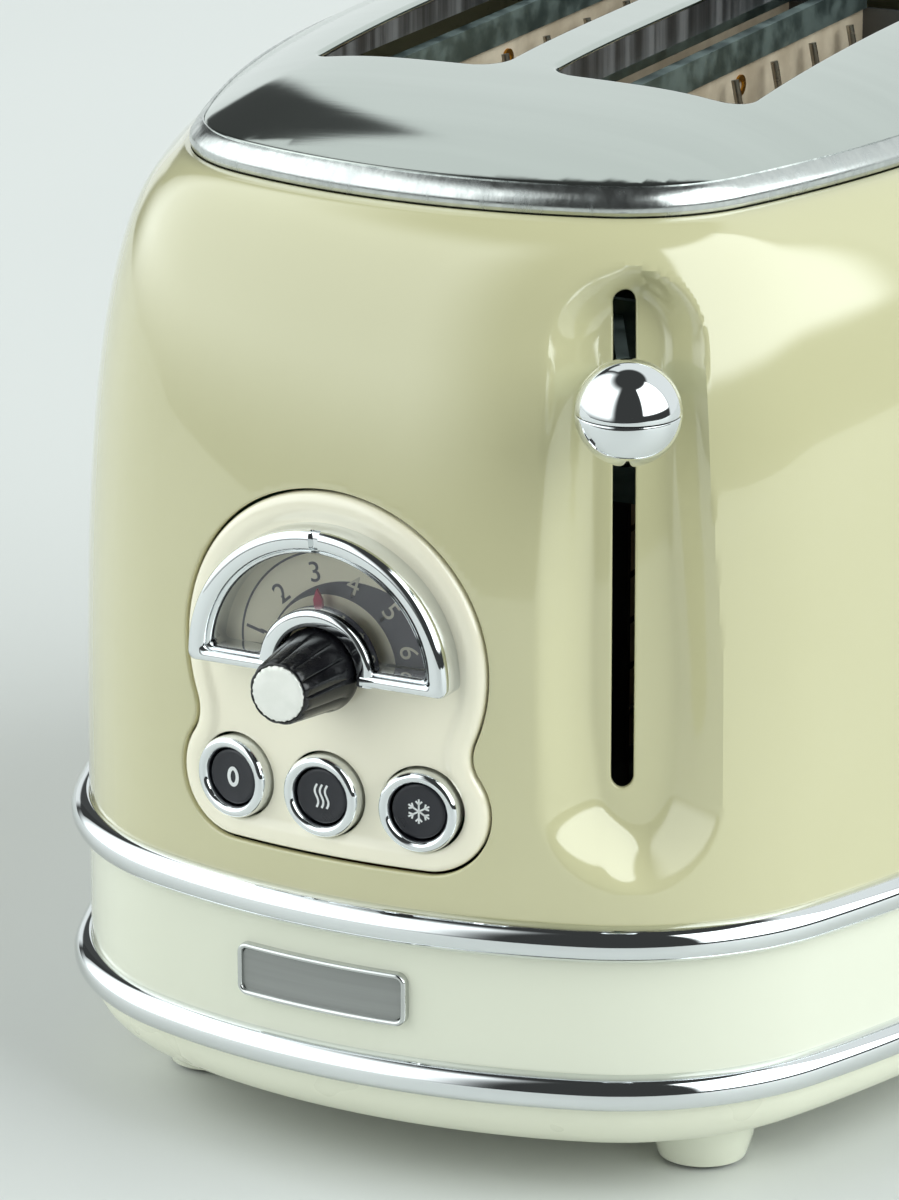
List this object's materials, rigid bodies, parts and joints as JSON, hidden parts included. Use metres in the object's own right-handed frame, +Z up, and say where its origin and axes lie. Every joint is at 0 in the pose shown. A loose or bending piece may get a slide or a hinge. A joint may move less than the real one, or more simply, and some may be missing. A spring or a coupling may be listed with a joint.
{
  "type": "pop up toaster",
  "caption": "pop up toaster with long bread slots, a crowned steel cap, bright trim rings, a browning dial with push keys, and a ball lever that lowers the bread carriage",
  "frame": {"origin": "the middle of the four feet's standing plane, under the middle of the body", "axes": "+Z up, -Y towards the control end with the lever and dial, bread slots along Y, +X to the right seen from the control end"},
  "size_m": [0.2052, 0.3103, 0.204],
  "materials": {
    "body_paint": "gloss enamel",
    "band_paint": "gloss enamel",
    "base_plastic": "gloss",
    "panel_plastic": "satin",
    "steel_cap": "brushed",
    "liner_steel": "brushed",
    "chrome_trim": "polished",
    "rubber": "matt",
    "clear": "clear",
    "dial_print": "printed",
    "pointer_red": "gloss",
    "black_plastic": "satin",
    "silver_disc": "spun",
    "badge_grey": "satin",
    "badge_silver": "polished",
    "board_green": "lacquer",
    "switch_black": "matt",
    "zinc_steel": "galvanised",
    "wire_chrome": "bright wire",
    "copper_coil": "lacquered winding",
    "mica": "mottled mica sheet",
    "brass": "bright"
  },
  "bodies": {
    "root": {"body_shell": "body_paint", "top_cap": "steel_cap", "slot_liner_left": "liner_steel", "slot_liner_right": "liner_steel", "upper_trim_ring": "chrome_trim", "lower_trim_ring": "chrome_trim", "base_band": "band_paint", "base_tray": "base_plastic", "feet": "base_plastic", "foot_pads": "rubber", "control_panel": "panel_plastic", "dial_bezel": "chrome_trim", "dial_window": "clear", "dial_face": "dial_print", "button_rings": "chrome_trim", "control_board": "board_green", "potentiometer": "switch_black", "button_switches": "switch_black", "board_stands": "switch_black", "badge_field": "badge_grey", "badge_rim": "badge_silver", "guide_rod": "zinc_steel", "rod_bracket": "zinc_steel", "rod_collar": "zinc_steel", "return_spring": "zinc_steel", "electromagnet": "copper_coil", "magnet_stand": "switch_black", "front_plate": "zinc_steel", "rear_plate": "zinc_steel", "heater_board_outer_left": "mica", "heater_board_inner_left": "mica", "heater_board_outer_right": "mica", "heater_board_inner_right": "mica", "board_rails": "zinc_steel", "ribbon_eyelets": "brass", "side_reflector_left": "zinc_steel", "side_reflector_right": "zinc_steel", "tray_runners": "switch_black", "cord_inlet": "black_plastic", "base_screws": "zinc_steel"},
    "carriage": {"lever_ball_upper": "chrome_trim", "lever_ball_lower": "chrome_trim", "lever_arm": "zinc_steel", "bread_carriage": "zinc_steel", "bread_lifter_left": "zinc_steel", "bread_lifter_right": "zinc_steel", "latch_keeper": "zinc_steel"},
    "knob": {"browning_knob": "black_plastic", "knob_end_disc": "silver_disc", "knob_shaft": "zinc_steel", "dial_pointer": "pointer_red"},
    "cancel_key": {"button_cancel": "black_plastic"},
    "reheat_key": {"button_reheat": "black_plastic"},
    "defrost_key": {"button_defrost": "black_plastic"},
    "crumb_drawer": {"crumb_tray": "zinc_steel", "crumb_tray_pull": "base_plastic"},
    "guard_outer_left": {"bread_guard_outer_left": "wire_chrome"},
    "guard_outer_right": {"bread_guard_outer_right": "wire_chrome"},
    "guard_inner_left": {"bread_guard_inner_left": "wire_chrome"},
    "guard_inner_right": {"bread_guard_inner_right": "wire_chrome"}
  },
  "joints": [
    {"name": "lever_slide", "type": "slide", "parent": "root", "child": "carriage", "axis": [0, 0, 1], "range_m": [-0.072, 0.011], "stiffness_N_per_m": 130, "springref_m": 0.01097, "deforming": ["return_spring"]},
    {"name": "knob_turn", "type": "hinge", "parent": "root", "child": "knob", "pos_m": [-0.005, -0.15, 0.103], "axis": [0, -1, 0], "range_deg": [-72, 62]},
    {"name": "cancel_press", "type": "slide", "parent": "root", "child": "cancel_key", "axis": [0.1782, 0.984, 0], "range_m": [0, 0.0025], "stiffness_N_per_m": 600},
    {"name": "reheat_press", "type": "slide", "parent": "root", "child": "reheat_key", "axis": [0.0356, 0.9994, 0], "range_m": [0, 0.0025], "stiffness_N_per_m": 600},
    {"name": "defrost_press", "type": "slide", "parent": "root", "child": "defrost_key", "axis": [-0.1069, 0.9943, 0], "range_m": [0, 0.0025], "stiffness_N_per_m": 600},
    {"name": "crumb_slide", "type": "slide", "parent": "root", "child": "crumb_drawer", "axis": [0, 1, 0], "range_m": [0, 0.16]},
    {"name": "guard_outer_left_close", "type": "slide", "parent": "root", "child": "guard_outer_left", "axis": [1, 0, 0], "range_m": [-0.0007, 0.0041]},
    {"name": "guard_outer_right_close", "type": "slide", "parent": "root", "child": "guard_outer_right", "axis": [-1, 0, 0], "range_m": [-0.0007, 0.0041]},
    {"name": "guard_inner_left_close", "type": "slide", "parent": "root", "child": "guard_inner_left", "axis": [-1, 0, 0], "range_m": [-0.0007, 0.0041]},
    {"name": "guard_inner_right_close", "type": "slide", "parent": "root", "child": "guard_inner_right", "axis": [1, 0, 0], "range_m": [-0.0007, 0.0041]}
  ],
  "couplings": [
    {"joint": "guard_outer_left_close", "follows": "lever_slide", "ratio": -0.0556},
    {"joint": "guard_outer_right_close", "follows": "lever_slide", "ratio": -0.0556},
    {"joint": "guard_inner_left_close", "follows": "lever_slide", "ratio": -0.0556},
    {"joint": "guard_inner_right_close", "follows": "lever_slide", "ratio": -0.0556}
  ]
}
